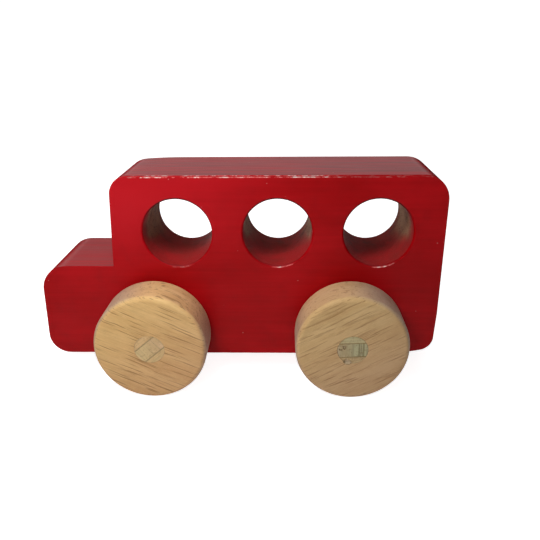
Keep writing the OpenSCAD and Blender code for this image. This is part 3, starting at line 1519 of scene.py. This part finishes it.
@dataclass
class Wheelset:
    """One axle with its two wheels and the wedges that lock them."""

    station: Station
    centre: Vector
    wedge_turn: float
    wheel_looks: dict[Side, WheelLook]
    dowel_look: EndLook
    wedge_look: EndLook
    chips: tuple[Chip, ...] = ()
    wheel_r: float = 24.0 * MM
    wheel_rim_r: float = 2.2 * MM
    dowel_r: float = 6.35 * MM
    bore_r: float = 6.4 * MM
    mouth: float = 0.16 * MM
    wedge_t: float = 6.4 * MM
    wedge_tip_t: float = 4.6 * MM
    wedge_depth: float = 15.0 * MM
    slot_spare: float = 0.6 * MM
    overrun: float = 1.0 * MM
    end_share: float = 0.9
    wedge_seed_step: float = 40.0
    wheel_steps: int = 160
    dowel_steps: int = 96
    mouth_segments: int = 2

    @property
    def body(self) -> str:
        """Name of the CAD body that all these pieces ride on."""
        return f"{self.station.value}_wheelset"

    def node(self, side: Side | None, part: str) -> str:
        """Name of a CAD node of this set.

        Args:
            side: Which side, or none for the axle.
            part: What the piece is.

        Returns:
            The name.
        """
        if side is None:
            return f"{self.station.value}_{part}"
        return f"{self.station.value}_{side.name.lower()}_{part}"

    def wheel_span(self, side: Side) -> tuple[float, float]:
        """Y of a wheel's inner and outer face.

        Args:
            side: Which wheel.

        Returns:
            Y of the face by the block and Y of the face that shows.
        """
        low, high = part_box(self.node(side, "wheel"))
        return (high.y, low.y) if side is Side.LEFT else (low.y, high.y)

    def build_wheel(self, side: Side) -> bpy.types.Object:
        """Turns one wheel.

        Args:
            side: Which wheel.

        Returns:
            The wheel.
        """
        inner, outer = self.wheel_span(side)
        profile = (
            (self.bore_r, inner),
            (self.wheel_r, inner),
            (self.wheel_r, outer),
            (self.bore_r, outer),
        )
        roundings = {1: self.wheel_rim_r, 2: self.wheel_rim_r, 3: self.mouth}
        solid = Solid.lathe(profile, roundings, self.centre, self.wheel_steps)
        if side is Side.LEFT:
            solid = self.chipped(solid)
        look = self.wheel_looks[side]
        name = self.node(side, "wheel")
        middle = Vector((self.centre.x, (inner + outer) / 2, self.centre.z))
        wood = BareWood(
            f"{name}_wood",
            middle,
            look.grain_turn,
            pale=look.pale,
            warm=look.warm,
            seed=look.seed,
            pore_strength=look.pore_strength,
        )
        piece = Piece(f"{name}_turned", self.body, name, "wheel_wood")
        return piece.finish(solid, [wood.material(), self.torn_wood()])

    def chipped(self, solid: bmesh.types.BMesh) -> bmesh.types.BMesh:
        """Breaks this axle's chips out of a piece at its left-hand end.

        Args:
            solid: The piece.

        Returns:
            The piece without the splinters.
        """
        face = self.wheel_span(Side.LEFT)[1]
        for chip in self.chips:
            solid = Solid.carve(solid, chip.lump(self.centre, face), Carve.CUT_AWAY)
        return solid

    def torn_wood(self) -> bpy.types.Material:
        """Gives the finish of the chips, which is built once for the set.

        Returns:
            The material.
        """
        name = f"{self.station.value}_torn_wood"
        made = bpy.data.materials.get(name)
        if made is not None:
            return made
        face = self.wheel_span(Side.RIGHT)[1]
        return TornWood(name, face * PER_MM).material()

    def slot(self, side: Side) -> bmesh.types.BMesh:
        """Makes the tapered slab that a wedge's slot is cut with.

        Args:
            side: Which end of the axle.

        Returns:
            The slab, which runs out past the end.
        """
        outer = self.wheel_span(side)[1]
        half_taper = (self.wedge_t - self.wedge_tip_t) / 2 / self.wedge_depth
        depth = self.wedge_depth + self.slot_spare
        solid = bmesh.new()
        bmesh.ops.create_cube(solid, size=1.0)
        for vert in solid.verts:
            outwards = vert.co.y * side.value > 0
            reach = self.overrun if outwards else -depth
            half = self.wedge_t / 2 + half_taper * reach
            vert.co.x = math.copysign(half, vert.co.x)
            vert.co.z = math.copysign(self.dowel_r + self.overrun, vert.co.z)
            vert.co.y = outer + side.value * reach
        turn = Matrix.Rotation(-self.wedge_turn, 4, "Y")
        place = Matrix.Translation(self.on_line())
        bmesh.ops.transform(solid, matrix=place @ turn, verts=solid.verts)
        return solid

    def on_line(self) -> Vector:
        """Gives the point of the axle's line at the middle of the bus."""
        return Vector((self.centre.x, 0, self.centre.z))

    def sharp_ends(self, solid: bmesh.types.BMesh) -> list[bmesh.types.BMEdge]:
        """Finds the edges of a piece's end faces, which a light rounding takes off.

        Args:
            solid: An axle or a wedge.

        Returns:
            The edges.
        """
        solid.normal_update()
        near_end = self.end_share * self.wheel_span(Side.RIGHT)[1]
        rims = [e for e in solid.edges if Solid.is_rim(e)]
        return [e for e in rims if abs(e.verts[0].co.y) > near_end]

    def end_wood(
        self, piece: str, grain_turn: float, look: EndLook, seed: float
    ) -> bpy.types.Material:
        """Builds the finish of a dowel or a wedge, whose sawn ends show.

        Args:
            piece: Name of the piece.
            grain_turn: How its growth rings lie.
            look: Its tints.
            seed: Where in the wood it was cut.

        Returns:
            The finish.
        """
        wood = EndGrain(
            f"{piece}_wood",
            self.on_line(),
            grain_turn,
            pale=look.pale,
            warm=look.warm,
            seed=seed,
            look=look,
            seam_turn=self.wedge_turn,
            seam_place=self.wedge_t / 2 * PER_MM,
        )
        return wood.material()

    def build_axle(self) -> bpy.types.Object:
        """Makes the dowel, with a slot in both ends.

        Returns:
            The dowel.
        """
        reach = self.wheel_span(Side.RIGHT)[1]
        solid = Solid.rod(self.centre, self.dowel_r, -reach, reach, self.dowel_steps)
        for side in Side:
            solid = Solid.carve(solid, self.slot(side), Carve.CUT_AWAY)
        Solid.soften(solid, self.sharp_ends(solid), self.mouth, self.mouth_segments)
        solid = self.chipped(solid)
        name = self.node(None, "axle")
        wood = self.end_wood(name, self.wedge_turn, self.dowel_look, self.centre.x * PER_MM)
        piece = Piece(f"{name}_dowel", self.body, name, "dowel")
        return piece.finish(solid, [wood, self.torn_wood()])

    def build_wedge(self, side: Side) -> bpy.types.Object:
        """Makes one wedge, flush with the dowel's end.

        Args:
            side: Which end of the axle.

        Returns:
            The wedge.
        """
        outer = self.wheel_span(side)[1]
        tip = outer - side.value * self.wedge_depth
        trim = Solid.rod(self.centre, self.dowel_r, min(outer, tip), max(outer, tip), self.dowel_steps)
        solid = Solid.carve(self.slot(side), trim, Carve.KEEP_INSIDE)
        Solid.soften(solid, self.sharp_ends(solid), self.mouth, self.mouth_segments)
        if side is Side.LEFT:
            solid = self.chipped(solid)
        name = self.node(side, "wedge")
        seed = self.centre.x * PER_MM + self.wedge_seed_step * side.value
        wood = self.end_wood(name, self.wedge_turn + math.pi / 2, self.wedge_look, seed)
        piece = Piece(f"{name}_driven", self.body, name, "wedge_wood")
        return piece.finish(solid, [wood, self.torn_wood()])

    def build(self) -> None:
        """Builds every piece of the set."""
        self.build_axle()
        for side in Side:
            self.build_wheel(side)
            self.build_wedge(side)


@dataclass(frozen=True)
class PhotoCamera:
    """The viewpoint of the photograph, fitted to the edges of the bus, with turns in radians."""

    place: Triple = (19.88 * MM, -251.53 * MM, 147.14 * MM)
    yaw: float = -0.02681
    pitch: float = 0.3872
    roll: float = 0.00923
    focal_px: float = 582.72
    picture_px: int = 540
    sensor_mm: float = 36.0

    def build(self) -> bpy.types.Object:
        """Makes the scene's camera.

        Returns:
            The camera.
        """
        data = bpy.data.cameras.new("photo_camera")
        data.sensor_width = self.sensor_mm
        data.lens = self.focal_px / self.picture_px * self.sensor_mm
        data.clip_start = 1 * MM
        flat = math.cos(self.pitch)
        ahead = Vector((math.sin(self.yaw) * flat, math.cos(self.yaw) * flat, -math.sin(self.pitch)))
        level = Vector((math.cos(self.yaw), -math.sin(self.yaw), 0))
        below = ahead.cross(level)
        right = math.cos(self.roll) * level + math.sin(self.roll) * below
        down = -math.sin(self.roll) * level + math.cos(self.roll) * below
        axes = Matrix((right, -down, -ahead)).transposed()
        camera = in_scene("photo_camera", data)
        camera.matrix_world = Matrix.Translation(self.place) @ axes.to_4x4()
        bpy.context.scene.camera = camera
        return camera


@dataclass(frozen=True)
class SoftBox:
    """One square studio lamp, in metres and watts."""

    name: str
    place: Triple
    size: float
    power: float
    target: Triple = (0.0, 0.0, 0.05)

    def build(self) -> bpy.types.Object:
        """Makes the lamp and points it at its target.

        Returns:
            The lamp.
        """
        data = bpy.data.lights.new(self.name, "AREA")
        data.size = self.size
        data.energy = self.power
        lamp = in_scene(self.name, data)
        lamp.location = self.place
        aim = Vector(self.target) - Vector(self.place)
        lamp.rotation_euler = aim.to_track_quat("-Z", "Y").to_euler()
        return lamp


@dataclass
class Studio:
    """A white floor that runs up into a backdrop, soft lamps and the sky light, in metres."""

    depth: float = 1.6
    width: float = 4.0
    height: float = 1.6
    sweep_r: float = 0.5
    sweep_segments: int = 24
    white: Colour = (1.0, 1.0, 1.0)
    floor_white: Colour = (0.86, 0.86, 0.86)
    sky: float = 0.06
    near_lift: float = 0.90
    far_lift: float = 1.0
    near_reach: float = 0.22
    far_reach: float = 0.45

    lamps: tuple[SoftBox, ...] = (
        SoftBox("top_box", (0.0, 0.10, 0.60), size=0.30, power=0.75),
        SoftBox("near_box", (-0.07, -0.13, 0.225), size=0.08, power=0.34),
        SoftBox("front_box", (-0.025, -0.286, 0.251), size=0.16, power=0.21),
        SoftBox("far_box", (-0.42, 0.34, 0.12), size=0.20, power=0.80),
    )

    def seen(self, sheet: NodeSheet) -> Socket:
        """Gives 1 for rays that show the background: straight, mirrored or through glass.

        Args:
            sheet: The sheet to draw on.

        Returns:
            1 or 0.
        """
        path = sheet.add("ShaderNodeLightPath")
        straight, mirrored, through = (
            path.outputs[f"Is {kind} Ray"] for kind in ("Camera", "Glossy", "Transmission")
        )
        return sheet.math("MAXIMUM", straight, sheet.math("MAXIMUM", mirrored, through))

    def floor_material(self) -> bpy.types.Material:
        """Builds a white floor that keeps the shadow and glows a little where it is seen.

        Returns:
            The material.
        """
        material, sheet, shader = new_material("studio_floor")
        away = sheet.add("ShaderNodeVectorMath", operation="LENGTH")
        sheet.feed(away.inputs[0], sheet.add("ShaderNodeTexCoord").outputs["Object"])
        lift = sheet.step(
            away.outputs["Value"], self.near_reach, self.far_reach, self.near_lift, self.far_lift
        )
        sheet.fill(
            shader,
            Base_Color=self.floor_white,
            Roughness=1.0,
            Specular_IOR_Level=0.0,
            Emission_Color=self.white,
            Emission_Strength=sheet.product(self.seen(sheet), lift),
        )
        return material

    def build_floor(self) -> bpy.types.Object:
        """Makes the floor and backdrop as one swept sheet.

        Returns:
            The floor.
        """
        sheet = bmesh.new()
        run = (
            (-self.depth, 0.0),
            (self.depth, 0.0),
            (self.depth, self.height),
        )
        line = [sheet.verts.new((-self.width / 2, y, z)) for y, z in run]
        edges = [sheet.edges.new(pair) for pair in zip(line, line[1:])]
        grown = bmesh.ops.extrude_edge_only(sheet, edges=edges)
        moved = [v for v in grown["geom"] if isinstance(v, bmesh.types.BMVert)]
        bmesh.ops.translate(sheet, verts=moved, vec=(self.width, 0, 0))
        fold = [e for e in sheet.edges if len(e.link_faces) == 2]
        Solid.soften(sheet, fold, self.sweep_r, self.sweep_segments, clamp=False)
        mesh = bpy.data.meshes.new("studio_floor")
        for face in sheet.faces:
            face.smooth = True
        sheet.to_mesh(mesh)
        sheet.free()
        mesh.materials.append(self.floor_material())
        floor = in_scene("studio_floor", mesh)
        return floor

    def build_sky(self) -> bpy.types.World:
        """Makes an even sky, which is white where it is seen.

        Returns:
            The sky.
        """
        world = bpy.data.worlds.new("studio_sky")
        world.use_nodes = True
        sheet = NodeSheet(world.node_tree)
        background = world.node_tree.nodes["Background"]
        strength = sheet.step(self.seen(sheet), 0.0, 1.0, self.sky, 1.0)
        sheet.fill(background, Color=self.white, Strength=strength)
        bpy.context.scene.world = world
        return world

    def build(self) -> None:
        """Builds the studio."""
        self.build_floor()
        self.build_sky()
        for lamp in self.lamps:
            lamp.build()
        bpy.context.scene.view_settings.view_transform = "Standard"


def bus_body() -> BusBody:
    """Reads the block's box, windows and axles from the frame.

    Returns:
        The block, ready to build.
    """
    low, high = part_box("body")
    bores = [m for m in frame["record"]["mounts"] if m["kind"] == "bore"]
    return BusBody(
        low=low,
        high=high,
        windows=[Vector(m["pos_m"]) for m in bores],
        window_r=bores[0]["dims"]["r_mm"] * MM,
        axles=[Vector(j["pos_m"]) for j in frame["joints"]],
    )


def wheelsets() -> list[Wheelset]:
    """Describes the two wheelsets, with the grain that each piece of wood has.

    Returns:
        The front and the rear wheelset, ready to build.
    """
    places = {j["child"]: Vector(j["pos_m"]) for j in frame["joints"]}
    yellow = WheelLook(
        grain_turn=math.radians(-25),
        seed=11.0,
        pale=(0.775, 0.51, 0.24),
        warm=(0.645, 0.38, 0.16),
        pore_strength=0.70,
    )
    grey = WheelLook(
        grain_turn=math.radians(28),
        seed=57.0,
        pale=(0.655, 0.45, 0.24),
        warm=(0.56, 0.355, 0.17),
        pore_strength=0.54,
    )
    front = Wheelset(
        Station.FRONT,
        places["front_wheelset"],
        wedge_turn=math.radians(-50),
        wheel_looks={Side.LEFT: yellow, Side.RIGHT: grey},
        dowel_look=EndLook(
            pale=(0.72, 0.48, 0.235),
            warm=(0.62, 0.385, 0.17),
            stain=(0.66, 0.455, 0.22),
            stain_turn=math.radians(-35),
        ),
        wedge_look=EndLook(
            pale=(0.69, 0.475, 0.265),
            warm=(0.62, 0.42, 0.215),
            stain=(0.67, 0.49, 0.24),
            stain_turn=math.radians(215),
        ),
        mouth=0.07 * MM,
    )
    rear = Wheelset(
        Station.REAR,
        places["rear_wheelset"],
        wedge_turn=math.radians(-87),
        wheel_looks={Side.LEFT: grey, Side.RIGHT: yellow},
        dowel_look=EndLook(
            pale=(0.56, 0.40, 0.215),
            warm=(0.47, 0.32, 0.155),
            stain=(0.51, 0.44, 0.24),
            stain_turn=math.radians(75),
        ),
        wedge_look=EndLook(
            pale=(0.50, 0.39, 0.24),
            warm=(0.42, 0.33, 0.18),
            stain=(0.45, 0.425, 0.245),
            stain_turn=math.radians(10),
            stripes=0.75,
            striped_from=0.2,
        ),
        chips=(
            Chip(
                across=-1.9 * MM,
                up=-5.6 * MM,
                half_width=1.7 * MM,
                half_height=1.3 * MM,
                depth=0.8 * MM,
                seed=3.0,
            ),
            Chip(
                across=-3.5 * MM,
                up=1.3 * MM,
                half_width=0.7 * MM,
                half_height=0.9 * MM,
                depth=0.3 * MM,
                seed=8.0,
                roughness=0.7,
            ),
            Chip(
                across=-5.1 * MM,
                up=0.3 * MM,
                half_width=0.6 * MM,
                half_height=0.5 * MM,
                depth=0.3 * MM,
                seed=14.0,
                roughness=0.7,
            ),
        ),
    )
    return [front, rear]


def main() -> None:
    """Builds the bus and its studio, piece by piece."""
    logging.basicConfig(level=logging.INFO, format="%(name)s: %(message)s")
    PhotoCamera().build()
    bus_body().build()
    for wheelset in wheelsets():
        wheelset.build()
    Studio().build()


if __name__ == "__main__":
    main()
